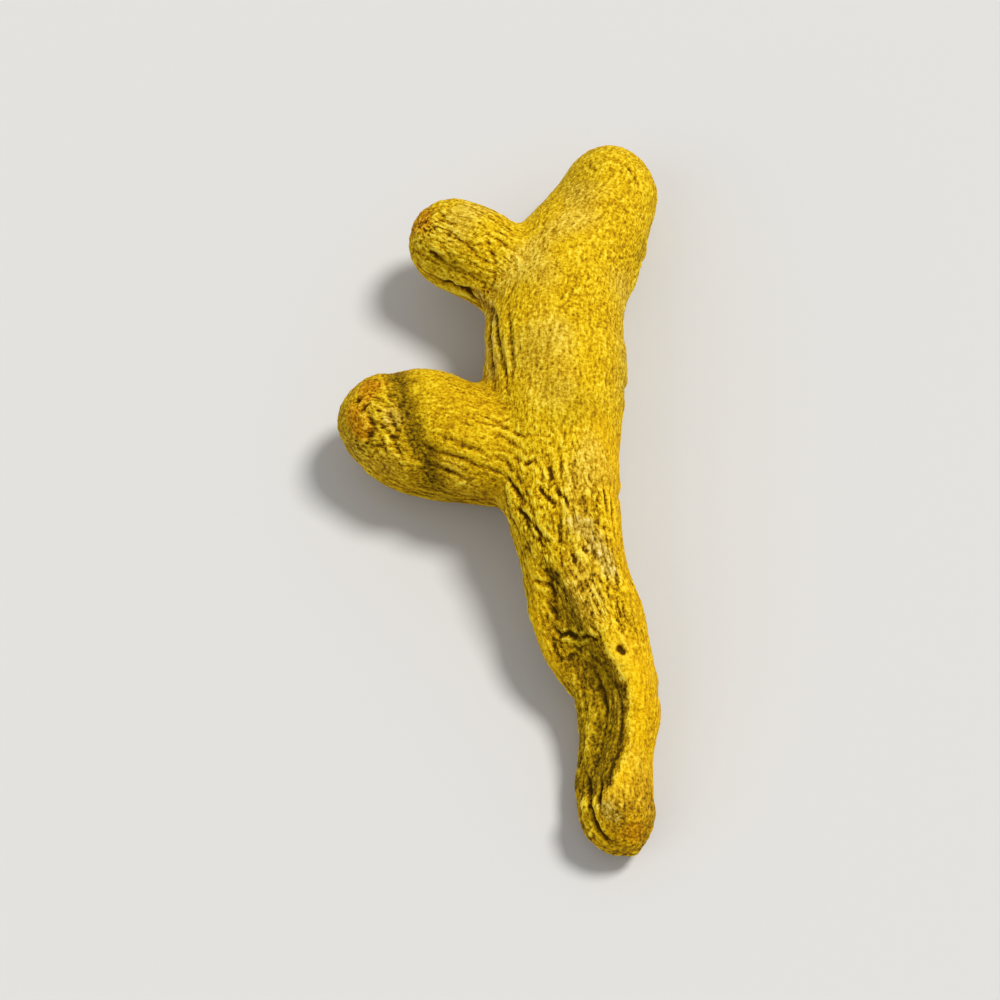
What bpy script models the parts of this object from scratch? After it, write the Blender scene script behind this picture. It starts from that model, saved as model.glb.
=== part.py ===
"""A dried turmeric root: one rhizome finger, grown in one piece, lying on a flat surface.

The stem runs from a slim, twisted tail at -Y to a blunt head at +Y, and two side knobs grow out
of it towards -X. Each of the three is a sphere drawn out along its own line. They are fused,
smoothed and made a little uneven as one skin. The three places it lies on, under the head, the
tail and the lower knob, are worn flat.
Sizes are in millimetres and angles in degrees. An angle round a branch is 0 at its +X or +Y side
and 90 on top.
"""

import math

import bmesh
import bpy
from mathutils import Vector, noise

MILLIMETRE = 0.001

# Driving sizes.
ROOT_LENGTH = 65.5
HEAD_WIDTH = 8.6
BODY_WIDTH = 11.9
BODY_DEPTH = 10.6
WAIST_WIDTH = 9.2
WAIST_DEPTH = 8.4
TAIL_WIDTH = 6.7
TAIL_DEPTH = 6.1
UPPER_KNOB_REACH = 9.2
UPPER_KNOB_WIDTH = 7.5
UPPER_KNOB_BEND = 1.6
LOWER_KNOB_REACH = 13.8
LOWER_KNOB_WIDTH = 10.4
LOWER_KNOB_BEND = 0.8
REST_WEAR = 0.25
UNEVENNESS = 0.5
UNEVEN_EVERY = 6.0

# Where each knob leaves the stem, as a share of its length from the tail, and its heading.
UPPER_KNOB_AT = 0.742
UPPER_KNOB_HEADING = 147
LOWER_KNOB_AT = 0.496
LOWER_KNOB_HEADING = 160.3

# Each knob from the middle of the stem to its tip: share of its reach, thickness as a share of
# its width, and how high its underside is above the surface. The lower one has a ring scar.
UPPER_KNOB_SECTIONS = (
    (0.00, 1.02, 2.8), (0.37, 1.02, 2.5), (0.60, 1.04, 2.25), (0.82, 1.00, 2.2), (1.00, 0.90, 2.4)
)
LOWER_KNOB_SECTIONS = (
    (0.00, 0.86, 1.3), (0.30, 0.93, 0.6), (0.55, 1.02, -0.16), (0.70, 0.96, -0.03),
    (0.84, 0.82, 0.5), (1.00, 0.65, 1.2),
)

# How fine the skin is.
SKIN_STEP = 0.45
SMOOTHING_PASSES = 5
KEPT_FACES = 0.22
ROUND_SEGMENTS = 40
LONG_SEGMENTS = 72


def stem_sections():
    """The stem's cross sections from tail to head.

    Each row: share of the length, side offset, how high its underside is above the surface,
    width, depth, then the crest's angle and height and the valley's angle and depth, as shares
    of the radius.
    """
    return (
        (0.000, 10.5, -0.05, 0.95 * TAIL_WIDTH, TAIL_DEPTH, 115, 0.00, 150, 0.00),
        (0.045, 9.8, -0.15, 1.00 * TAIL_WIDTH, TAIL_DEPTH, 112, 0.06, 158, 0.08),
        (0.090, 9.3, -0.20, 0.94 * TAIL_WIDTH, TAIL_DEPTH, 100, 0.12, 146, 0.20),
        (0.135, 9.2, -0.05, 0.93 * TAIL_WIDTH, TAIL_DEPTH, 76, 0.16, 132, 0.30),
        (0.180, 9.5, 0.20, 1.02 * TAIL_WIDTH, 1.05 * TAIL_DEPTH, 70, 0.17, 127, 0.32),
        (0.225, 9.3, 0.55, 1.07 * TAIL_WIDTH, 1.10 * TAIL_DEPTH, 70, 0.16, 125, 0.30),
        (0.272, 8.1, 0.80, 0.95 * WAIST_WIDTH, 0.88 * WAIST_DEPTH, 84, 0.13, 132, 0.24),
        (0.316, 6.9, 1.05, 0.97 * WAIST_WIDTH, 0.94 * WAIST_DEPTH, 90, 0.10, 140, 0.13),
        (0.368, 6.1, 1.20, 0.98 * WAIST_WIDTH, WAIST_DEPTH, 104, 0.09, 160, 0.08),
        (0.427, 5.6, 1.35, 1.05 * WAIST_WIDTH, 1.06 * WAIST_DEPTH, 118, 0.06, 170, 0.04),
        (0.492, 4.8, 1.32, 0.91 * BODY_WIDTH, 0.92 * BODY_DEPTH, 120, 0.02, 170, 0.00),
        (0.565, 4.6, 1.20, 0.97 * BODY_WIDTH, 0.98 * BODY_DEPTH, 110, 0.00, 170, 0.00),
        (0.638, 4.8, 1.10, 1.01 * BODY_WIDTH, BODY_DEPTH, 90, 0.00, 170, 0.00),
        (0.708, 5.0, 0.90, BODY_WIDTH, BODY_DEPTH, 90, 0.00, 170, 0.00),
        (0.803, 6.1, 0.55, 0.95 * BODY_WIDTH, 0.95 * BODY_DEPTH, 90, 0.00, 170, 0.00),
        (0.885, 8.6, -0.10, 1.16 * HEAD_WIDTH, 1.06 * HEAD_WIDTH, 90, 0.00, 170, 0.00),
        (0.950, 10.3, -0.45, 0.99 * HEAD_WIDTH, HEAD_WIDTH, 90, 0.00, 170, 0.00),
        (1.000, 11.2, -0.40, 0.94 * HEAD_WIDTH, 0.96 * HEAD_WIDTH, 90, 0.00, 170, 0.00),
    )


def stem_rows():
    """The stem's sections with their middles placed along the root's length."""
    rows = []
    for share, side, lift, width, depth, *folds in stem_sections():
        middle = (side, (share - 0.5) * ROOT_LENGTH, lift + depth / 2)
        rows.append((middle, width, depth, *folds))
    return rows


def stem_at(share):
    """The stem's middle and width at a share of its length."""
    shares = [section[0] for section in stem_sections()]
    rows = [flat_row(row) for row in stem_rows()]
    first = max(k for k in range(len(shares) - 1) if shares[k] <= share)
    part = (share - shares[first]) / (shares[first + 1] - shares[first])
    x, y, z, width, *rest = between(rows, first + part)
    return Vector((x, y, z)), width


def knob_rows(at, heading, reach, width, bend, sections):
    """A side knob's rows, from the middle of the stem out to its tip."""
    start, stem_width = stem_at(at)
    ahead = Vector((math.cos(math.radians(heading)), math.sin(math.radians(heading)), 0))
    across = Vector((-ahead.y, ahead.x, 0))
    rows = []
    for share, girth, lift in sections:
        middle = start + ahead * (stem_width / 2 + reach) * share
        middle += across * bend * share * (share - 1)
        middle.z = lift + girth * width / 2
        rows.append((tuple(middle), girth * width, girth * width, 90, 0.0, 170, 0.0))
    return rows


def flat_row(row):
    return (*row[0], *row[1:])


def between(rows, place):
    """The row at a place counted in rows, on a smooth curve through all of them."""
    first = min(int(place), len(rows) - 2)
    part = place - first
    before = rows[max(first - 1, 0)]
    start, end = rows[first], rows[first + 1]
    after = rows[min(first + 2, len(rows) - 1)]
    return [
        0.5 * (2 * s + (e - b) * part + (2 * b - 5 * s + 4 * e - a) * part**2
               + (3 * s - b - 3 * e + a) * part**3)
        for b, s, e, a in zip(before, start, end, after)
    ]


def lobe(angle, centre, spread):
    """1 at the centre angle, fading to 0 over about twice the spread."""
    off = (angle - centre + 180) % 360 - 180
    return math.exp(-((off / spread) ** 2))


def add_branch(bm, rows):
    """Draws a sphere out along the rows, with a rounded end at each end of them."""
    rows = [flat_row(row) for row in rows]
    last = len(rows) - 1
    tips = [Vector(rows[0][:3]), Vector(rows[-1][:3])]
    ball = bmesh.ops.create_uvsphere(
        bm, u_segments=ROUND_SEGMENTS, v_segments=LONG_SEGMENTS, radius=1
    )
    for vert in ball["verts"]:
        place = (1 - vert.co.z) / 2 * last
        angle = math.degrees(math.atan2(vert.co.y, vert.co.x))
        x, y, z, width, depth, crest, ridge, valley, hollow = between(rows, place)
        middle = Vector((x, y, z))
        step = 0.05
        ahead = Vector(between(rows, min(place + step, last))[:3])
        ahead = (ahead - Vector(between(rows, max(place - step, 0))[:3])).normalized()
        side = ahead.cross(Vector((0, 0, 1))).normalized()
        up = side.cross(ahead)
        to_tip = min((middle - tip).length for tip in tips)
        blunt = min(to_tip / (width / 2), 1)
        dome = math.sqrt(1 - (1 - blunt) ** 2)
        reach = dome * (1 + ridge * lobe(angle, crest, 32) - hollow * lobe(angle, valley, 30))
        across = math.cos(math.radians(angle)) * width / 2 * reach
        above = math.sin(math.radians(angle)) * depth / 2 * reach
        vert.co = middle + side * across + up * above


def make_uneven(mesh):
    """Raises and sinks the skin a little, in places about UNEVEN_EVERY apart."""
    normals = [vert.normal.copy() for vert in mesh.vertices]
    for vert, normal in zip(mesh.vertices, normals):
        rise = noise.noise(vert.co / (UNEVEN_EVERY * MILLIMETRE))
        vert.co += normal * rise * UNEVENNESS * MILLIMETRE


def set_on_surface(mesh):
    """Centres the root over the origin, with its lowest point REST_WEAR below the surface."""
    low = Vector(min(v.co[k] for v in mesh.vertices) for k in range(3))
    high = Vector(max(v.co[k] for v in mesh.vertices) for k in range(3))
    middle = (low + high) / 2
    for vert in mesh.vertices:
        vert.co -= Vector((middle.x, middle.y, low.z + REST_WEAR * MILLIMETRE))


def evaluated(obj):
    """A plain mesh of the object with its modifiers applied."""
    graph = bpy.context.evaluated_depsgraph_get()
    return bpy.data.meshes.new_from_object(obj.evaluated_get(graph))


def fused_skin(collection):
    """The three branches fused, smoothed and thinned into one mesh, in metres."""
    bm = bmesh.new()
    add_branch(bm, stem_rows())
    add_branch(bm, knob_rows(UPPER_KNOB_AT, UPPER_KNOB_HEADING, UPPER_KNOB_REACH,
                             UPPER_KNOB_WIDTH, UPPER_KNOB_BEND, UPPER_KNOB_SECTIONS))
    add_branch(bm, knob_rows(LOWER_KNOB_AT, LOWER_KNOB_HEADING, LOWER_KNOB_REACH,
                             LOWER_KNOB_WIDTH, LOWER_KNOB_BEND, LOWER_KNOB_SECTIONS))
    bmesh.ops.recalc_face_normals(bm, faces=bm.faces)
    bmesh.ops.scale(bm, vec=(MILLIMETRE,) * 3, verts=bm.verts)
    mesh = bpy.data.meshes.new("branches")
    bm.to_mesh(mesh)
    bm.free()
    branches = bpy.data.objects.new("branches", mesh)
    collection.objects.link(branches)
    remesh = branches.modifiers.new("fuse", "REMESH")
    remesh.mode = "VOXEL"
    remesh.voxel_size = SKIN_STEP * MILLIMETRE
    smooth = branches.modifiers.new("smooth", "SMOOTH")
    smooth.iterations = SMOOTHING_PASSES
    thin = branches.modifiers.new("thin", "DECIMATE")
    thin.ratio = KEPT_FACES
    skin = evaluated(branches)
    bpy.data.objects.remove(branches)
    return skin


def rest_cutter(collection):
    """A block under the surface that the root rests on, which wears its lowest places flat."""
    bm = bmesh.new()
    size = 2 * ROOT_LENGTH * MILLIMETRE
    bmesh.ops.create_cube(bm, size=size)
    bmesh.ops.translate(bm, vec=(0, 0, -size / 2), verts=bm.verts)
    mesh = bpy.data.meshes.new("rest_cutter")
    bm.to_mesh(mesh)
    bm.free()
    cutter = bpy.data.objects.new("rest_cutter", mesh)
    cutter.hide_render = True
    cutter.display_type = "WIRE"
    collection.objects.link(cutter)
    return cutter


def turmeric_skin_material():
    material = bpy.data.materials.new("turmeric_skin")
    material.use_nodes = True
    shader = material.node_tree.nodes["Principled BSDF"]
    shader.inputs["Base Color"].default_value = (0.62, 0.38, 0.025, 1)
    shader.inputs["Roughness"].default_value = 0.8
    shader.inputs["Metallic"].default_value = 0.0
    return material


def new_collection(name):
    collection = bpy.data.collections.new(name)
    bpy.context.scene.collection.children.link(collection)
    return collection


def main():
    for obj in list(bpy.data.objects):
        bpy.data.objects.remove(obj)
    parts = new_collection("turmeric_root")
    cutters = new_collection("cutters")
    skin = fused_skin(parts)
    make_uneven(skin)
    set_on_surface(skin)
    skin.shade_smooth()
    skin.materials.append(turmeric_skin_material())
    root = bpy.data.objects.new("turmeric_root", skin)
    parts.objects.link(root)
    wear = root.modifiers.new("rest_wear", "BOOLEAN")
    wear.operation = "DIFFERENCE"
    wear.object = rest_cutter(cutters)


main()
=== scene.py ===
import math

import bmesh
import bpy
import numpy as np
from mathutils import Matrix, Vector, noise


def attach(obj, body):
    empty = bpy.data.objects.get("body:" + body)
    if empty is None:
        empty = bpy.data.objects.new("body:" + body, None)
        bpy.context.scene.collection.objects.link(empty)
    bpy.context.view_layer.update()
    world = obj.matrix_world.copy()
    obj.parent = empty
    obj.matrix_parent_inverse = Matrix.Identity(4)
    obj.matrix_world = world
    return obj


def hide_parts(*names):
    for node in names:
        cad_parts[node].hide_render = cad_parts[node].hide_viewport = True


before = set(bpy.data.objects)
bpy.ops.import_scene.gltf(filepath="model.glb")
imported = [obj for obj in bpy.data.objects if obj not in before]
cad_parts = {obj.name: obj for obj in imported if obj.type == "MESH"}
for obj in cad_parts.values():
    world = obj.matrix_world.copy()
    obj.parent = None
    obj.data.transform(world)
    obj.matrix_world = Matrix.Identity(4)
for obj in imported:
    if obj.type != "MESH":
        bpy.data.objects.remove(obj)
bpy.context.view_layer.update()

# The root: one finger of a turmeric rhizome, boiled and dried in the sun until it is hard.
# It grew in one piece, so the stem and its two side knobs share one skin, which shrank into
# folds as the finger dried. Sizes in this section are in millimetres.
MM = 0.001
WELD = 0.002
SKIN_FINENESS = 0.19
SOFTENING_PASSES = 12

# The plain root is rounded, then given a mesh fine enough for its folds.
root_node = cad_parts["turmeric_root"]
bm = bmesh.new()
bm.from_mesh(root_node.data)
bmesh.ops.remove_doubles(bm, verts=bm.verts, dist=WELD * MM)
bare_mesh = bpy.data.meshes.new("bare_root")
bm.to_mesh(bare_mesh)
bm.free()
bare_root = bpy.data.objects.new("bare_root", bare_mesh)
bpy.context.scene.collection.objects.link(bare_root)
rounding = bare_root.modifiers.new("rounding", "SUBSURF")
rounding.levels = 1
rounding.render_levels = 1
skin = bare_root.modifiers.new("skin", "REMESH")
skin.mode = "VOXEL"
skin.voxel_size = SKIN_FINENESS * MM
softening = bare_root.modifiers.new("softening", "SMOOTH")
softening.iterations = SOFTENING_PASSES
graph = bpy.context.evaluated_depsgraph_get()
root_mesh = bpy.data.meshes.new_from_object(bare_root.evaluated_get(graph))
root_mesh.name = "dried_root"
bpy.data.objects.remove(bare_root)
root = bpy.data.objects.new("dried_root", root_mesh)
bpy.context.scene.collection.objects.link(root)

# Each point of the skin: its place, the way out of the root there, and its neighbours.
count = len(root_mesh.vertices)
place = np.empty(count * 3)
root_mesh.vertices.foreach_get("co", place)
place = place.reshape(-1, 3) / MM
outward = np.empty(count * 3)
root_mesh.vertex_normals.foreach_get("vector", outward)
outward = outward.reshape(-1, 3)
edges = np.empty(len(root_mesh.edges) * 2, int)
root_mesh.edges.foreach_get("vertices", edges)
edges = edges.reshape(-1, 2)
neighbours = np.bincount(edges.ravel(), minlength=count)

# The three branches: the stem and its two side knobs. Each has a middle line, which its fibres
# follow, given as x, y, z and the radius there.
STATIONS = 240
EASING = 25
BATCH = 8000
STEM_LINE = (
    (9.6, -32.9, 3.1, 3.1), (9.2, -30.0, 3.0, 3.2), (8.9, -27.0, 3.0, 3.2), (8.8, -24.1, 3.1, 3.2),
    (9.0, -21.1, 3.5, 3.4), (8.8, -18.2, 4.0, 3.6), (7.8, -15.1, 4.6, 4.1), (6.6, -12.2, 5.1, 4.4),
    (5.8, -8.8, 5.5, 4.4), (5.2, -5.0, 5.9, 4.6), (4.5, -0.7, 6.3, 5.1), (4.4, 4.1, 6.5, 5.5),
    (4.6, 8.9, 6.5, 5.7), (4.8, 13.5, 6.3, 5.6), (5.9, 19.7, 5.7, 5.3), (8.4, 25.1, 4.6, 4.8),
    (10.1, 29.3, 4.0, 4.3), (11.0, 32.6, 3.9, 4.1),
)
UPPER_KNOB_LINE = (
    (4.0, 16.2, 6.7, 3.9), (0.7, 18.8, 6.5, 3.9), (-2.2, 20.7, 6.3, 3.9), (-5.2, 22.5, 6.1, 3.8),
    (-9.2, 24.7, 5.8, 3.4),
)
LOWER_KNOB_LINE = (
    (4.4, -0.5, 5.9, 4.5), (-1.0, 1.7, 5.6, 4.8), (-5.5, 3.2, 5.3, 5.3), (-8.2, 4.1, 5.1, 5.0),
    (-10.7, 4.8, 4.9, 4.3), (-14.7, 5.9, 4.7, 3.4),
)


def follow(line):
    """Each point's run along the line and its offsets sideways and up, and how far out it is.

    How far out is a share of the radius: 1 on the skin of that branch.
    """
    line = np.array(line)
    run = np.concatenate(([0], np.cumsum(np.linalg.norm(np.diff(line[:, :3], axis=0), axis=1))))
    steps = np.linspace(0, run[-1], STATIONS)
    fine = np.stack([np.interp(steps, run, line[:, k]) for k in range(4)], axis=1)
    ease = np.hanning(EASING) / np.hanning(EASING).sum()
    padded = np.pad(fine, ((EASING // 2,) * 2, (0, 0)), mode="reflect", reflect_type="odd")
    fine = np.stack([np.convolve(padded[:, k], ease, "valid") for k in range(4)], axis=1)
    ahead = np.gradient(fine[:, :3], axis=0)
    ahead /= np.linalg.norm(ahead, axis=1)[:, None]
    side = np.cross(ahead, (0, 0, 1))
    side /= np.linalg.norm(side, axis=1)[:, None]
    up = np.cross(side, ahead)
    nearest = np.empty(count, int)
    for first in range(0, count, BATCH):
        batch = slice(first, first + BATCH)
        gaps = ((place[batch, None, :] - fine[None, :, :3]) ** 2).sum(2)
        nearest[batch] = gaps.argmin(1)
    off = place - fine[nearest, :3]
    beyond = (off * ahead[nearest]).sum(1)
    sideways = (off * side[nearest]).sum(1)
    upwards = (off * up[nearest]).sum(1)
    out = np.linalg.norm(off, axis=1) / fine[nearest, 3]
    return np.stack((steps[nearest] + beyond, sideways, upwards), axis=1), out


def ramp(values, low, high):
    """0 below low, 1 above high and a smooth rise between; low may be the higher of the two."""
    share = np.clip((values - low) / (high - low), 0, 1)
    return share * share * (3 - 2 * share)


def bell(values, width):
    """1 where the values are 0, falling off softly to either side over the width."""
    return np.exp(-((values / width) ** 2))


def rumple(points, size, stretch=(1, 1, 1), seed=0.0):
    """Soft random rises and hollows, about size across, drawn out by stretch."""
    scaled = points / (np.array(stretch) * size) + seed
    return np.array([noise.noise(Vector(p)) for p in scaled])


stem_grain, stem_out = follow(STEM_LINE)
upper_grain, upper_out = follow(UPPER_KNOB_LINE)
lower_grain, lower_out = follow(LOWER_KNOB_LINE)
left_of_stem = ramp(place[:, 0], 3.0, 0.5)
upper_share = ramp(stem_out - upper_out, -0.25, 0.25) * left_of_stem
lower_share = ramp(stem_out - lower_out, -0.25, 0.25) * left_of_stem
knob_share = np.maximum(upper_share, lower_share)
# The knobs' runs start far from the stem's, so that no two branches share the same folds.
UPPER_START = 40
LOWER_START = 90
on_upper = (upper_share > lower_share)[:, None]
knob_grain = np.where(on_upper, upper_grain + UPPER_START, lower_grain + LOWER_START)


def folds(size, stretch, seed):
    """Rounded folds that run along each branch, with a sharp hollow between them: 0 to about 1."""
    sway = np.stack([rumple(place, 4 * size, seed=seed + k) for k in (7, 13, 19)], axis=1)
    sway *= 0.7 * size
    pulled = (stretch, 1, 1)
    on_stem = np.abs(rumple(stem_grain + sway, size, pulled, seed))
    on_knob = np.abs(rumple(knob_grain + sway, size, pulled, seed))
    return 2.2 * (on_stem * (1 - knob_share) + on_knob * knob_share)


def wrinkles(size, stretch, width, seed):
    """Thin sharp hollows along each branch: 1 in a hollow and 0 on the smooth skin beside it."""
    broken = ramp(rumple(place, 2.2 * size, seed=seed + 3), -0.15, 0.20)
    return broken * bell(folds(size, stretch, seed), width)


# The twist: below its middle the stem is twisted. A full ridge runs down its right, and steps
# down to a sunken valley on its left, which starts as a wedge-shaped hollow. Beyond the valley
# the skin is full again, in a rim along the left.
RIDGE_RISE = 0.20
VALLEY_DEPTH = 0.58
WEDGE_DEPTH = 0.22
RIM_RISE = 0.26
RIM_GROOVE = 0.22
RIDGE_EDGE = (
    (3.9, -9.7, 9.4), (5.0, -12.3, 8.7), (6.4, -14.4, 8.5), (7.8, -16.4, 8.0), (8.7, -18.4, 7.3),
    (9.8, -20.2, 7.2), (10.1, -22.3, 6.9), (10.1, -24.6, 6.2), (9.6, -26.4, 6.1), (8.8, -27.9, 6.2),
    (8.0, -29.2, 6.0), (7.6, -30.4, 5.4),
)
WEDGE = ((4.4, -11.4, 8.8), (5.1, -13.2, 8.4), (5.5, -14.8, 7.8), (5.9, -16.4, 7.2))
LEFT_RIM = (
    (1.8, -8.4, 7.6), (2.3, -9.8, 7.5), (2.8, -11.7, 7.2), (3.0, -13.7, 6.1), (3.2, -15.5, 5.4),
    (4.0, -17.3, 4.7), (5.0, -18.6, 4.2),
)


def to_line(points):
    """Each skin point's distance from the line, its signed distance, and its run along the line.

    The signed distance is above 0 to the right of the line, as seen from above. The run is from
    0 to 1.
    """
    points = np.array(points)
    spans = np.linalg.norm(np.diff(points, axis=0), axis=1)
    best, side, run = np.full(count, np.inf), np.zeros(count), np.zeros(count)
    for k, span in enumerate(spans):
        reach = points[k + 1] - points[k]
        part = np.clip(((place - points[k]) @ reach) / span**2, 0, 1)
        off = place - points[k] - part[:, None] * reach
        away = np.linalg.norm(off, axis=1)
        closer = away < best
        best = np.where(closer, away, best)
        side = np.where(closer, np.sign(reach[1] * off[:, 0] - reach[0] * off[:, 1]), side)
        run = np.where(closer, (spans[:k].sum() + part * span) / spans.sum(), run)
    return best, best * side, run


y = place[:, 1]
facing_down = ramp(outward[:, 2], 0.0, -0.7)
upper_skin = ramp(outward[:, 2], -0.35, 0.1)
_, signed, run = to_line(RIDGE_EDGE)
past_edge = 0.25 * rumple(place, 1.2, seed=41.0) - signed
strength = 0.25 + 0.75 * ramp(run, 0.28, 0.45)
strength *= ramp(run, 0.0, 0.15) * ramp(run, 1.0, 0.93) * upper_skin
below_edge = ramp(past_edge, 0.45, -0.85) * strength
sunken = below_edge * ramp(past_edge, -4.1, -2.7)
valley = below_edge * ramp(past_edge, -5.6, -4.6)
ridge = bell(past_edge - 1.0, 0.9) * strength
away, _, run = to_line(WEDGE)
wedge = bell(away, 0.7 + 0.7 * run)
away, signed, run = to_line(LEFT_RIM)
left_rim = bell(away, 1.0) * ramp(run, 0.0, 0.2)
inside_rim = bell(signed + 1.5, 0.5) * ramp(run, 0.1, 0.35) * ramp(run, 1.0, 0.9)
right_band = ramp(stem_grain[:, 1], 2.2, 3.6) * ramp(y, 5, 0) * ramp(outward[:, 2], -0.4, 0.0)
full = ramp(past_edge, -0.2, 0.6) * ramp(y, -14.5, -18.0) * upper_skin
full = np.maximum(full, 0.8 * np.maximum(right_band, left_rim))

# A broad ring round the lower knob, behind its blunt cap, where its growth paused. Fine lines
# run round the knob beside it, on the cap's side.
RING_DEPTH = 0.50
RING_LINE_DEPTH = 0.13
RING_SCAR = (
    (-9.0, 8.6, 7.4), (-8.6, 6.8, 9.2), (-8.1, 4.1, 10.0), (-7.8, 2.6, 9.8), (-7.3, 0.8, 9.2),
    (-6.4, -0.5, 8.6), (-5.7, -1.8, 6.5),
)
waver = 0.13 * rumple(place, 0.9, seed=21.0)
away, signed, run = to_line(RING_SCAR)
ring_scar = bell(away + 0.3 * rumple(place, 1.5, seed=65.0), 1.25)
round_ring = np.stack((signed, 3.0 * run, 0 * run), axis=1) + 0.3 * waver[:, None]
ring_lines = bell(rumple(round_ring, 0.55, seed=83.0), 0.16) * bell(away, 2.1)
ring_lines *= ramp(signed, -0.9, 0.3)

# Where the skin is folded and where it stayed full: the lower half and the underside shrank
# most, the ridge and the upper stem least. The folds run along each branch, and the broad ones
# carry finer ones.
SMOOTH_ABOVE = 3.0
FOLDED_BELOW = -5.0
MIDDLE_OF_FOLDS = 0.45
ragged_y = y + 1.5 * rumple(place, 3.0, seed=2.0)
wrinkled = 0.10 + 0.90 * ramp(ragged_y, SMOOTH_ABOVE, FOLDED_BELOW)
wrinkled = wrinkled * (1 - 0.75 * lower_share)
wrinkled = np.maximum(wrinkled, 0.55 * upper_share)
beside = ramp(outward[:, 2], 0.40, -0.10)
wrinkled = np.maximum(wrinkled, 0.70 * beside)
wrinkled = wrinkled * (1 - 0.85 * full) * (1 - 0.8 * sunken) * (1 - 0.5 * ring_scar)

relief = 0.16 * wrinkled * (folds(2.6, 5.0, 0.3) - MIDDLE_OF_FOLDS)
relief += 0.11 * wrinkled * (folds(1.0, 8.0, 3.1) - MIDDLE_OF_FOLDS)
relief -= 0.13 * wrinkled * wrinkles(1.3, 9.0, 0.38, 5.7)
relief -= 0.08 * wrinkled * wrinkles(0.8, 9.0, 0.45, 11.9)
finest = (0.045 + 0.045 * wrinkled) * (1 - 0.6 * beside)
relief += finest * (folds(0.36, 2.0, 8.2) - MIDDLE_OF_FOLDS)
relief += 0.11 * beside * (folds(0.8, 7.0, 23.0) - MIDDLE_OF_FOLDS)
relief += 0.14 * rumple(place, 4.0, seed=71.0)
relief -= 0.40 * ramp(y, -26.0, -29.0) * ramp(outward[:, 0], 0.2, 0.9)
relief += RIDGE_RISE * ridge - VALLEY_DEPTH * sunken - WEDGE_DEPTH * wedge
relief += RIM_RISE * left_rim - RIM_GROOVE * inside_rim
relief -= RING_DEPTH * ring_scar + RING_LINE_DEPTH * ring_lines
relief += 0.07 * sunken * (folds(0.6, 9.0, 14.0) - MIDDLE_OF_FOLDS)

# Rings where leaves once sat, plainest on the back, and knots where side buds broke off. The
# rings are given by their runs along the stem, the knots by a near point and a radius.
LEAF_RING_DEPTH = 0.20
KNOT_RISE = 0.30
KNOT_DEPTH = 0.35
RINGS = (13.0, 20.5, 30.0, 41.5, 49.0, 58.0)
KNOTS = (
    ((9.3, 7.0, 2.6), 1.6), ((6.5, 24.0, 0.5), 1.5), ((3.0, -6.0, 1.8), 1.6),
    ((-4.5, 21.0, 2.5), 1.1),
)
behind = ramp(outward[:, 2], 0.35, -0.3) * (1 - knob_share)
rings = np.zeros(count)
for run_to_ring in RINGS:
    off_ring = stem_grain[:, 0] - run_to_ring + 0.9 * rumple(place, 3.5, seed=61.0)
    rings += bell(off_ring, 0.45) - 0.7 * bell(off_ring - 1.1, 0.6)
relief -= LEAF_RING_DEPTH * rings * (0.12 + 0.88 * behind) * (1 - sunken)
knots = np.zeros(count)
for near, radius in KNOTS:
    centre = place[np.linalg.norm(place - np.array(near), axis=1).argmin()]
    away = np.linalg.norm(place - centre, axis=1) * (1 + 0.18 * rumple(place, 1.5, seed=63.0))
    relief += KNOT_RISE * bell(away - radius, 0.28 * radius)
    relief -= KNOT_DEPTH * bell(away, 0.62 * radius)
    knots = np.maximum(knots, ramp(away, 1.5 * radius, 0.8 * radius))

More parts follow.
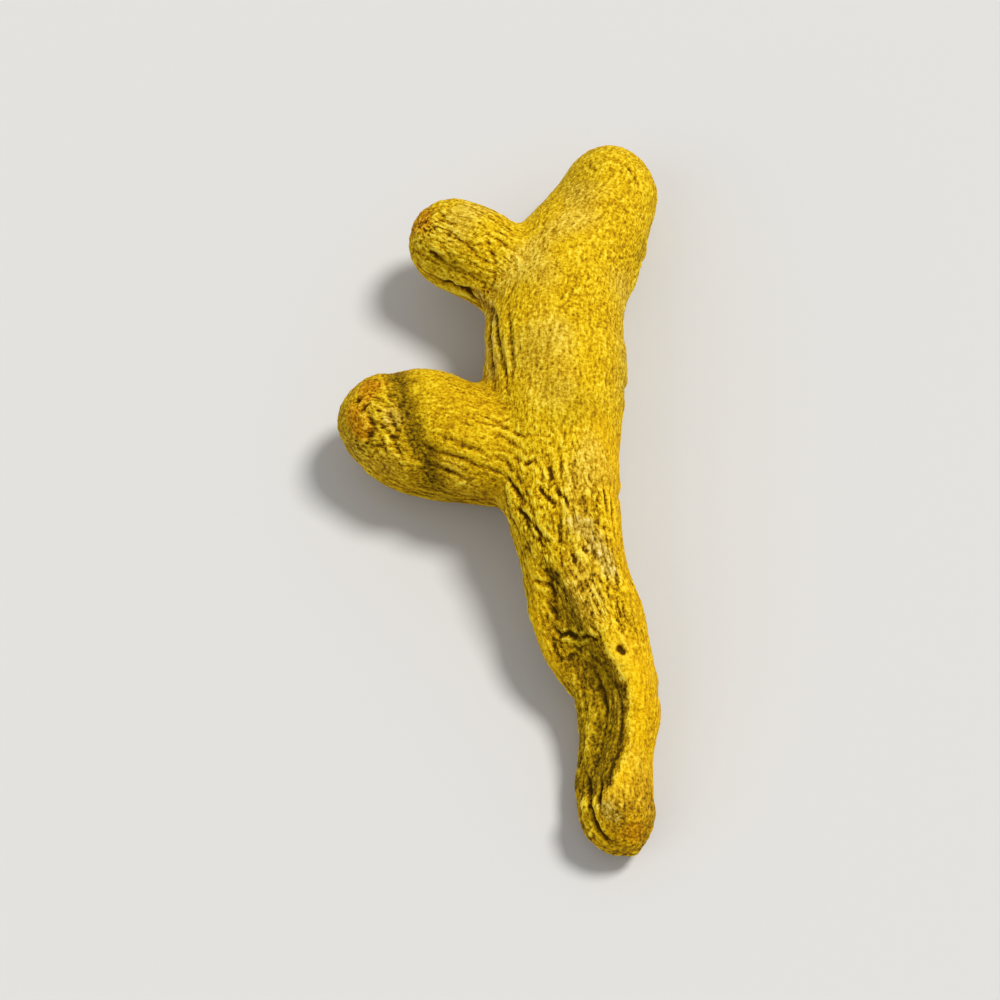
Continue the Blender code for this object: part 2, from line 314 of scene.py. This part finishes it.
# Creases, where the skin gave way as it dried. Each tapers to its ends, wavers a little and has
# a faint lip. They are given by their half width, depth and the points along them.
LIP_SHARE = 0.18
CREASES = (
    # the left flank between the knobs
    (0.34, 0.36, ((-3.3, 16.9, 6.6), (-2.1, 16.0, 6.7), (-0.9, 13.7, 8.3), (-1.0, 11.3, 8.2),
                  (-1.0, 8.4, 8.6), (-0.6, 5.6, 9.2))),
    (0.26, 0.30, ((-1.6, 15.8, 8.2), (-0.4, 12.2, 9.2), (-0.2, 9.9, 9.6), (0.3, 6.8, 10.1),
                  (0.5, 4.6, 10.0))),
    (0.22, 0.25, ((0.5, 13.2, 10.3), (0.8, 10.0, 10.7), (0.9, 6.9, 10.6), (0.7, 4.5, 10.1))),
    # the fan of cracks where the lower knob joins the stem
    (0.18, 0.16, ((-1.6, 2.6, 10.1), (-0.2, 1.9, 10.1), (0.9, 2.3, 10.3))),
    (0.18, 0.18, ((-1.9, 1.8, 10.1), (0.0, 1.6, 10.1), (1.8, 0.2, 10.7), (2.7, 0.3, 10.8))),
    (0.18, 0.16, ((-1.4, 0.9, 10.0), (0.2, 0.5, 10.1), (1.4, -0.7, 10.4))),
    (0.19, 0.20, ((1.1, -1.5, 10.1), (2.0, -2.2, 10.4), (2.6, -2.0, 10.7), (3.2, -2.8, 10.7))),
    (0.17, 0.22, ((-0.7, -1.1, 9.7), (0.3, -1.4, 9.6), (0.8, -2.4, 9.6))),
    (0.20, 0.27, ((-1.6, -1.7, 9.1), (-0.7, -2.0, 9.0), (0.6, -3.0, 9.2), (1.1, -4.0, 9.3),
                  (1.8, -5.2, 9.5))),
    (0.18, 0.28, ((3.0, -4.1, 10.3), (3.6, -5.1, 10.3), (4.4, -5.9, 10.4))),
    (0.18, 0.26, ((4.4, -4.6, 10.5), (5.2, -5.4, 10.5), (5.6, -6.6, 10.4))),
    (0.19, 0.30, ((0.9, -4.8, 8.7), (1.3, -5.4, 8.7), (2.4, -6.9, 9.3), (3.2, -8.2, 9.5),
                  (4.4, -9.6, 9.7))),
    (0.28, 0.26, ((-4.6, -2.6, 7.2), (-2.6, -3.0, 7.3), (-0.6, -4.0, 7.2), (0.8, -5.8, 7.5),
                  (1.6, -7.6, 7.7))),
    (0.17, 0.22, ((1.6, -6.2, 8.7), (2.0, -6.8, 8.9), (2.7, -8.2, 9.2), (4.0, -9.8, 9.5))),
    # short nicks on the stem below the knobs
    (0.20, 0.18, ((5.6, -9.7, 9.8), (6.0, -10.9, 9.5))),
    (0.24, 0.20, ((6.4, -9.5, 9.8), (7.0, -10.0, 9.6))),
    (0.22, 0.32, ((7.8, -7.1, 9.5), (8.7, -7.4, 8.9))),
    (0.17, 0.26, ((9.2, -10.1, 8.4), (9.4, -12.4, 8.5))),
    (0.17, 0.22, ((8.2, -2.6, 9.3), (8.5, -5.4, 9.0), (8.5, -6.4, 9.0))),
    # the wedge, and the crack across its lower end
    (0.19, 0.34, ((2.8, -11.2, 7.3), (3.8, -12.1, 7.9), (4.1, -12.7, 7.8))),
    (0.19, 0.34, ((3.8, -13.3, 7.1), (4.4, -14.4, 7.1))),
    (0.19, 0.45, ((4.1, -15.1, 6.5), (4.7, -15.8, 6.6), (5.3, -15.7, 6.8), (6.0, -16.5, 7.1),
                  (6.8, -16.3, 7.5), (7.4, -16.8, 7.8))),
    # along the valley
    (0.26, 0.14, ((6.4, -16.9, 6.7), (7.7, -18.5, 6.4), (8.7, -20.4, 6.8), (9.3, -22.3, 6.8),
                  (9.5, -24.3, 6.4), (9.0, -26.2, 6.1))),
    (0.24, 0.16, ((7.0, -17.6, 6.2), (7.6, -19.6, 5.5), (7.9, -21.5, 5.4), (8.5, -22.9, 6.0))),
    (0.24, 0.16, ((5.9, -17.9, 5.6), (6.6, -20.5, 4.8), (6.9, -22.9, 4.6), (7.0, -25.5, 5.0))),
    # round the tail
    (0.22, 0.30, ((7.2, -26.9, 5.5), (7.4, -28.0, 5.6), (7.7, -30.2, 5.6))),
    (0.24, 0.40, ((6.4, -26.4, 3.8), (6.7, -28.4, 4.4), (7.0, -30.2, 4.8), (7.6, -31.6, 4.4),
                  (8.8, -32.6, 3.9))),
    # round the head
    (0.32, 0.16, ((8.6, 30.0, 8.3), (9.8, 29.3, 8.5), (10.9, 28.9, 8.1), (11.7, 27.9, 7.8),
                  (12.1, 26.3, 7.2))),
    (0.20, 0.20, ((7.6, 29.5, 8.0), (7.7, 28.4, 8.5), (8.3, 27.7, 8.8))),
    # arcs round the foot of the upper knob, and one nick on the right of the stem
    (0.20, 0.13, ((-1.2, 19.5, 10.1), (-0.5, 17.9, 9.7), (-0.5, 16.4, 9.0), (-1.2, 15.6, 7.7))),
    (0.20, 0.11, ((0.3, 19.3, 10.0), (1.2, 17.5, 10.0), (1.2, 15.2, 10.2), (0.3, 13.4, 9.9))),
    (0.17, 0.22, ((9.0, -3.8, 8.6), (9.1, -6.1, 8.4), (9.4, -8.1, 8.0))),
    # under the upper knob, and along it
    (0.35, 0.50, ((-5.9, 18.8, 6.0), (-4.3, 17.6, 6.1), (-3.3, 16.9, 6.6), (-1.9, 15.7, 6.2))),
    (0.32, 0.60, ((-3.4, 17.0, 6.8), (-2.3, 16.0, 7.4), (-1.7, 14.6, 7.8), (-1.6, 13.0, 7.7))),
    (0.22, 0.16, ((-6.5, 20.1, 8.6), (-5.0, 18.7, 8.1), (-3.2, 17.6, 8.2))),
    (0.20, 0.13, ((-5.6, 21.7, 9.9), (-3.2, 19.7, 9.8), (-1.0, 17.6, 9.5))),
    # along the lower knob, then round its cap
    (0.20, 0.22, ((-6.7, 0.2, 9.0), (-4.8, -0.5, 9.1), (-2.8, -1.2, 9.2), (-1.1, -2.2, 8.7))),
    (0.20, 0.22, ((-7.4, -0.5, 8.2), (-5.8, -1.1, 8.1), (-3.8, -1.9, 8.1), (-2.0, -2.7, 7.5))),
    (0.19, 0.18, ((-5.7, 1.0, 9.7), (-3.8, 0.2, 9.8), (-1.8, -0.6, 9.8), (-0.5, -1.6, 9.3))),
    (0.30, 0.30, ((-10.1, 2.4, 9.1), (-9.1, 1.1, 8.8), (-8.4, -0.2, 8.0))),
    (0.30, 0.30, ((-11.1, 3.3, 9.0), (-10.1, 1.6, 8.6), (-9.4, 0.2, 7.7))),
    (0.22, 0.22, ((-9.4, 3.6, 9.7), (-8.9, 1.9, 9.3), (-8.2, 0.6, 8.8))),
)
patchy = np.clip(0.85 + 0.6 * rumple(place, 1.6, seed=27.0), 0.50, 1.1)
for half_width, depth, points in CREASES:
    away, _, run = to_line(points)
    taper = np.sqrt(np.sin(np.pi * np.clip(run, 0.04, 0.96)))
    relief -= depth * taper * patchy * bell(away + waver, half_width * (0.7 + 0.3 * taper))
    relief += LIP_SHARE * depth * taper * bell(away - 2.2 * half_width, half_width)

# Small holes and pits, left by insects and torn rootlets: where, radius and depth.
PITS = (
    ((-4.3, 17.6, 6.2), 0.50, 0.45), ((10.6, 15.3, 5.7), 0.30, 0.35),
    ((6.6, -12.6, 9.1), 0.50, 0.22), ((9.4, -17.6, 7.9), 0.28, 0.60),
    ((9.7, -17.9, 7.7), 0.26, 0.50), ((9.7, -20.5, 7.2), 0.40, 0.18),
    ((-12.0, 4.9, 8.6), 0.40, 0.40), ((-11.4, 3.9, 8.9), 0.35, 0.35),
    ((-10.9, 1.7, 8.2), 0.45, 0.40), ((-10.3, 0.7, 8.0), 0.40, 0.35),
)
for centre, radius, depth in PITS:
    away = np.linalg.norm((place - np.array(centre)) * (1, 1, 0.7), axis=1) + 0.5 * waver
    relief -= depth * bell(away, radius)

# The skin against the surface is worn, so the folds fade there. How deep each point lies below
# the skin round it, near and far, is kept: the material paints the hollows darker with it, part
# dust and part painted shade, and the crests lighter, as a painted highlight.
DEEPEST = -1.0
HIGHEST = 0.7
NEAR_PASSES = 5
FAR_PASSES = 70


def spread(values, passes):
    """The values averaged with their neighbours', over and over."""
    for _ in range(passes):
        total = np.bincount(edges[:, 0], values[edges[:, 1]], count)
        total += np.bincount(edges[:, 1], values[edges[:, 0]], count)
        values = 0.5 * values + 0.5 * total / neighbours
    return values


off_ground = ramp(place[:, 2], 0.0, 1.0)
relief *= off_ground + (1 - off_ground) * (1 - facing_down)
relief = np.clip(relief, DEEPEST, HIGHEST)
fine_hollow = spread(relief, NEAR_PASSES) - relief
broad_hollow = spread(relief, FAR_PASSES) - relief
place += outward * relief[:, None]
place[:, 2] = np.maximum(place[:, 2], 0.0)
root_mesh.vertices.foreach_set("co", (place * MM).ravel())
root_mesh.shade_smooth()
root_mesh.update()

# Where the colour changes: the buds are orange, rubbed skin is beige, sunken skin is olive and
# full skin is a richer yellow. The groups are given by their share, radius, seed and places.
BUDS = (
    (1.0, 1.5, 31.0, ((-7.6, 22.9, 7.5), (-7.1, 23.9, 7.5), (-6.4, 24.6, 7.5), (-6.8, 22.6, 8.8))),
    (1.0, 1.3, 33.0, ((-10.8, 6.1, 9.0), (-11.4, 5.0, 9.0), (-12.4, 3.8, 8.2), (-11.7, 2.4, 8.2))),
    (0.7, 1.2, 35.0, ((10.5, -31.9, 4.8),)),
)
RUBBED = (
    (1.0, 1.0, 37.0, ((6.4, -7.6, 10.2), (7.0, -7.9, 10.0))),
    (1.0, 1.1, 39.0, ((7.7, -9.1, 9.5), (8.2, -9.9, 9.1), (8.6, -11.0, 8.9))),
    (1.0, 0.9, 43.0, ((8.3, -30.3, 5.8), (8.8, -30.9, 5.6))),
    (0.7, 0.8, 45.0, ((-1.9, 15.6, 7.2), (-0.9, 14.0, 8.3), (-0.7, 12.5, 8.7))),
    (0.5, 1.2, 87.0, ((-1.0, 10.2, 8.4), (-0.8, 8.0, 8.8), (-8.7, 2.6, 9.6))),
)
ABOVE_CRACK = ((1.0, 1.9, 53.0, ((3.6, -13.2, 7.6), (4.4, -14.6, 7.3), (4.0, -16.6, 5.6))),)
UNDER_KNOB = ((1.0, 1.1, 55.0, ((-3.0, 16.6, 6.8), (-1.8, 15.0, 7.6), (-1.6, 13.4, 7.8))),)
COARSE = ((1.0, 2.6, 47.0, ((-5.6, 21.0, 9.0), (-10.4, 3.0, 9.0), (-10.6, 1.2, 8.0))),)


def spots(groups):
    """The share of each group in ragged spots round its places, and 0 away from them."""
    found = np.zeros(count)
    for share, radius, seed, places in groups:
        for centre in places:
            away = np.linalg.norm(place - np.array(centre), axis=1)
            ragged = away + 0.5 * radius * rumple(place, 0.7 * radius, seed=seed)
            found = np.maximum(found, share * ramp(ragged, 1.25 * radius, 0.4 * radius))
    return found


bud = np.maximum(spots(BUDS), 0.5 * knots)
worn = np.maximum(spots(RUBBED), 0.3 * ramp(rumple(place, 4.5, seed=51.0), 0.05, 0.6))
above_crack = spots(ABOVE_CRACK) * (1 - left_rim)
olive = np.maximum(np.clip(valley + wedge + ring_scar, 0, 1), 0.8 * above_crack)
olive = np.maximum(olive, 0.6 * ramp(rumple(place, 6.0, seed=57.0), 0.1, 0.45))
rich = np.maximum(full, ridge) * (1 - worn) * (1 - 0.6 * ramp(y, -28.0, -30.5))
flank = bell(to_line(CREASES[0][2])[0], 1.7)
# Painted shade: the colour is darkened where shade falls, in the valley and beside the wedge, in
# the ring and its lines, along the left flank and inside the left rim, under the upper knob, over
# the lower knob and its underside, below the middle of the stem and towards the tail.
shaded = 0.85 * np.maximum(valley, sunken) + 0.8 * wedge + 0.75 * ring_scar
shaded += 0.42 * flank + 0.25 * lower_share
shaded += 0.35 * ramp(y, -1.0, -5.0) * (1 - rich) + 0.7 * ramp(y, -25.5, -29.0)
shaded += 0.45 * above_crack + 0.9 * spots(UNDER_KNOB) + 0.5 * inside_rim + 0.4 * ring_lines
shaded += 0.35 * lower_share * ramp(outward[:, 1], -0.3, -0.9)
# The material reads these for each point of the skin: a share, or a place in millimetres.
KEPT = {
    "fine_hollow": fine_hollow * (1 - 0.35 * olive) * (1 - 0.25 * lower_share),
    "broad_hollow": broad_hollow,
    "wrinkled": wrinkled,
    "beside": beside,
    "bud": bud,
    "worn": worn,
    "olive": olive,
    "rich": rich,
    "shaded": np.clip(shaded, 0, 1),
    "rough": spots(COARSE),
    "stem_grain": stem_grain,
    "knob_grain": knob_grain,
    "knob_share": knob_share,
}
for name, values in KEPT.items():
    kind, field = ("FLOAT", "value") if values.ndim == 1 else ("FLOAT_VECTOR", "vector")
    layer = root_mesh.attributes.new(name, kind, "POINT")
    layer.data.foreach_set(field, values.astype(np.float32).ravel())

# The skin's material: dry and matt, with a fine grain. Its hollows are brown and its crests are
# pale yellow: partly the skin's own colour, partly painted shade and painted highlight.
ROUGHNESS = 0.8
SHINE = 0.05
BUMP_HEIGHT = 0.14


class Wire:
    """One socket of a material. Sums and products of wires add the Math nodes for them."""

    def __init__(self, material, socket):
        """Notes the material that the socket belongs to, and the socket."""
        self.material = material
        self.socket = socket

    def node(self, kind, settings, sockets, output=0):
        """Adds a node, with its settings and the values or wires of its sockets."""
        tree = self.material.node_tree
        new = tree.nodes.new(kind)
        for name, value in settings.items():
            if name == "stops":
                while len(new.color_ramp.elements) < len(value):
                    new.color_ramp.elements.new(0.5)
                for element, (position, colour) in zip(new.color_ramp.elements, value):
                    element.position = position
                    element.color = (*colour, 1)
            else:
                setattr(new, name, value)
        for name, value in sockets.items():
            if isinstance(value, Wire):
                tree.links.new(value.socket, new.inputs[name])
            else:
                new.inputs[name].default_value = value
        return Wire(self.material, new.outputs[output])

    def maths(self, operation, first, second=0.0):
        """A Math node on two values or wires."""
        settings = {"operation": operation}
        return self.node("ShaderNodeMath", settings, {0: first, 1: second})

    def __add__(self, other):
        return self.maths("ADD", self, other)

    __radd__ = __add__

    def __sub__(self, other):
        return self.maths("SUBTRACT", self, other)

    def __rsub__(self, other):
        return self.maths("SUBTRACT", other, self)

    def __mul__(self, other):
        return self.maths("MULTIPLY", self, other)

    __rmul__ = __mul__

    def clipped(self):
        """The wire's value, held between 0 and 1."""
        return self.node("ShaderNodeClamp", {}, {"Value": self})

    def mixed(self, first, second):
        """The colours first and second, mixed by this share of the second."""
        settings = {"data_type": "RGBA"}
        return self.node("ShaderNodeMix", settings, {0: self, 6: first, 7: second}, 2)

    def into(self, node, name):
        """Links the wire to a socket of a node that is there already."""
        self.material.node_tree.links.new(self.socket, node.inputs[name])


skin_material = bpy.data.materials.new("turmeric_skin")
skin_material.use_nodes = True
skin_shader = skin_material.node_tree.nodes["Principled BSDF"]
start = Wire(skin_material, None)
here = start.node("ShaderNodeTexCoord", {}, {}, "Object")


def kept(name, output="Fac"):
    """What was stored for each point of the skin under this name."""
    return start.node("ShaderNodeAttribute", {"attribute_name": name}, {}, output)


def speckle(size, detail, roughness=0.6):
    """Random grain of a size in millimetres, about 0.5 on average."""
    sockets = {"Vector": here, "Scale": 1 / (size * MM), "Detail": detail, "Roughness": roughness}
    return start.node("ShaderNodeTexNoise", {}, sockets, 0)


def fibre(size, stretch, detail=2.0):
    """The same, drawn out along each branch."""
    found = []
    for name in ("stem_grain", "knob_grain"):
        pulled = {0: kept(name, "Vector"), 1: (1 / stretch, 1, 1)}
        along = start.node("ShaderNodeVectorMath", {"operation": "MULTIPLY"}, pulled)
        sockets = {"Vector": along, "Scale": 1 / size, "Detail": detail, "Distortion": 0.6}
        found.append(start.node("ShaderNodeTexNoise", {}, sockets, 0))
    return found[0] + (found[1] - found[0]) * kept("knob_share")


grain = speckle(0.25, 1)
coarse_grain = speckle(0.7, 2)
patches = speckle(4.0, 3)
fibres = fibre(0.26, 3.5, 1.0)
# Painted shade in the hollows and a painted highlight on the crests, from how deep each point lies
# below the skin round it.
hollow = kept("fine_hollow") * 6.5 + kept("broad_hollow") * 0.9
tone = 0.64 - hollow + (grain - 0.5) * (1.1 - kept("beside") * 0.4)
tone = tone + (coarse_grain - 0.5) * 0.3 + (patches - 0.5) * 0.3
tone = tone + (fibres - 0.5) * (kept("rough") * 1.1 + kept("wrinkled") * 0.5 + 0.65)
off_crack = start.maths("ABSOLUTE", fibre(1.0, 6.0, 1.0) - 0.5)
cracks = (1 - off_crack * 40).clipped() * ((patches - 0.35) * 4).clipped() * kept("wrinkled")
# The painted shade darkens the colour where shade falls; the cracks are dark lines in the skin.
tone = (tone - cracks * 0.24 - kept("shaded") * 0.24 + kept("rich") * 0.03).clipped()


def tones(*colours):
    """Colours for the hollows up to the crests of the skin."""
    places = (0.0, 0.22, 0.45, 0.65, 0.85, 1.0)
    return start.node("ShaderNodeValToRGB", {"stops": tuple(zip(places, colours))}, {"Fac": tone})


plain_skin = tones((0.070, 0.030, 0.0010), (0.24, 0.120, 0.0012), (0.47, 0.255, 0.002),
                   (0.67, 0.42, 0.003), (0.82, 0.58, 0.014), (0.90, 0.70, 0.05))
olive_skin = tones((0.060, 0.034, 0.0010), (0.16, 0.095, 0.0012), (0.29, 0.180, 0.002),
                   (0.44, 0.29, 0.005), (0.59, 0.41, 0.015), (0.70, 0.52, 0.05))
worn_skin = tones((0.10, 0.055, 0.004), (0.27, 0.155, 0.008), (0.46, 0.29, 0.02),
                  (0.62, 0.44, 0.07), (0.76, 0.58, 0.14), (0.86, 0.69, 0.25))
rich_skin = tones((0.10, 0.045, 0.001), (0.28, 0.14, 0.001), (0.52, 0.27, 0.001),
                  (0.70, 0.385, 0.001), (0.81, 0.50, 0.002), (0.88, 0.60, 0.01))
bud_skin = tones((0.06, 0.02, 0.001), (0.19, 0.07, 0.001), (0.40, 0.15, 0.001),
                 (0.60, 0.26, 0.002), (0.78, 0.40, 0.006), (0.88, 0.55, 0.03))
colour = (kept("olive") * 0.75).mixed(plain_skin, olive_skin)
colour = kept("worn").mixed(colour, worn_skin)
colour = (kept("rich") * 0.85).clipped().mixed(colour, rich_skin)
colour = (kept("bud") * 0.9).mixed(colour, bud_skin)
colour.into(skin_shader, "Base Color")
skin_shader.inputs["Roughness"].default_value = ROUGHNESS
skin_shader.inputs["Specular IOR Level"].default_value = SHINE
height = grain + coarse_grain * 1.2 + fibres * (kept("wrinkled") * 0.8 + 0.6) - cracks * 0.7
bump_sockets = {"Height": height, "Strength": 1.0, "Distance": BUMP_HEIGHT * MM}
bump = start.node("ShaderNodeBump", {}, bump_sockets)
bump.into(skin_shader, "Normal")
root_mesh.materials.clear()
root_mesh.materials.append(skin_material)
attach(root, "root")
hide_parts("turmeric_root")

# The ground: a plain pale sheet that the root lies on. The main light comes from above on the
# right and a weaker one from the left, both soft, and the sky fills the shade.
GROUND_REACH = 6
GROUND_GREY = 0.62
WORLD_STRENGTH = 0.40
bm = bmesh.new()
bmesh.ops.create_grid(bm, x_segments=1, y_segments=1, size=GROUND_REACH)
ground_mesh = bpy.data.meshes.new("ground")
bm.to_mesh(ground_mesh)
bm.free()
ground = bpy.data.objects.new("ground", ground_mesh)
bpy.context.scene.collection.objects.link(ground)
ground_material = bpy.data.materials.new("pale_ground")
ground_material.use_nodes = True
ground_shader = ground_material.node_tree.nodes["Principled BSDF"]
ground_shader.inputs["Base Color"].default_value = (GROUND_GREY, GROUND_GREY, GROUND_GREY, 1)
ground_shader.inputs["Roughness"].default_value = 0.9
ground_mesh.materials.append(ground_material)


def soft_light(name, source, softness, strength, colour):
    """Even light from the direction of source, which looks softness radians wide."""
    light = bpy.data.lights.new(name, "SUN")
    light.angle = softness
    light.energy = strength
    light.color = colour
    lamp = bpy.data.objects.new(name, light)
    bpy.context.scene.collection.objects.link(lamp)
    lamp.location = source
    aim = Vector((0, 0, 0)) - lamp.location
    lamp.rotation_euler = aim.to_track_quat("-Z", "Y").to_euler()


soft_light("key", (0.55, 0.30, 1.05), softness=0.30, strength=2.75, colour=(1.0, 0.97, 0.92))
soft_light("fill", (-0.85, -0.60, 0.75), softness=0.80, strength=0.5, colour=(0.95, 0.97, 1.0))
world = bpy.data.worlds.new("studio")
bpy.context.scene.world = world
world.use_nodes = True
sky = world.node_tree.nodes["Background"]
sky.inputs["Color"].default_value = (1, 1, 1, 1)
sky.inputs["Strength"].default_value = WORLD_STRENGTH
bpy.context.scene.view_settings.view_transform = "Standard"

# The camera looks down on the root, as someone standing at a table does. Its distance and its
# aim are in metres.
ELEVATION = math.radians(62)
DISTANCE = 0.236
AIM = Vector((-0.0001, 0, 0))
FOCAL_LENGTH = 100
lens = bpy.data.cameras.new("camera")
lens.lens = FOCAL_LENGTH
lens.clip_start = 0.01
camera = bpy.data.objects.new("camera", lens)
bpy.context.scene.collection.objects.link(camera)
back = Vector((0, -math.cos(ELEVATION), math.sin(ELEVATION)))
camera.location = back * DISTANCE + AIM
camera.rotation_euler = (-back).to_track_quat("-Z", "Y").to_euler()
bpy.context.scene.camera = camera
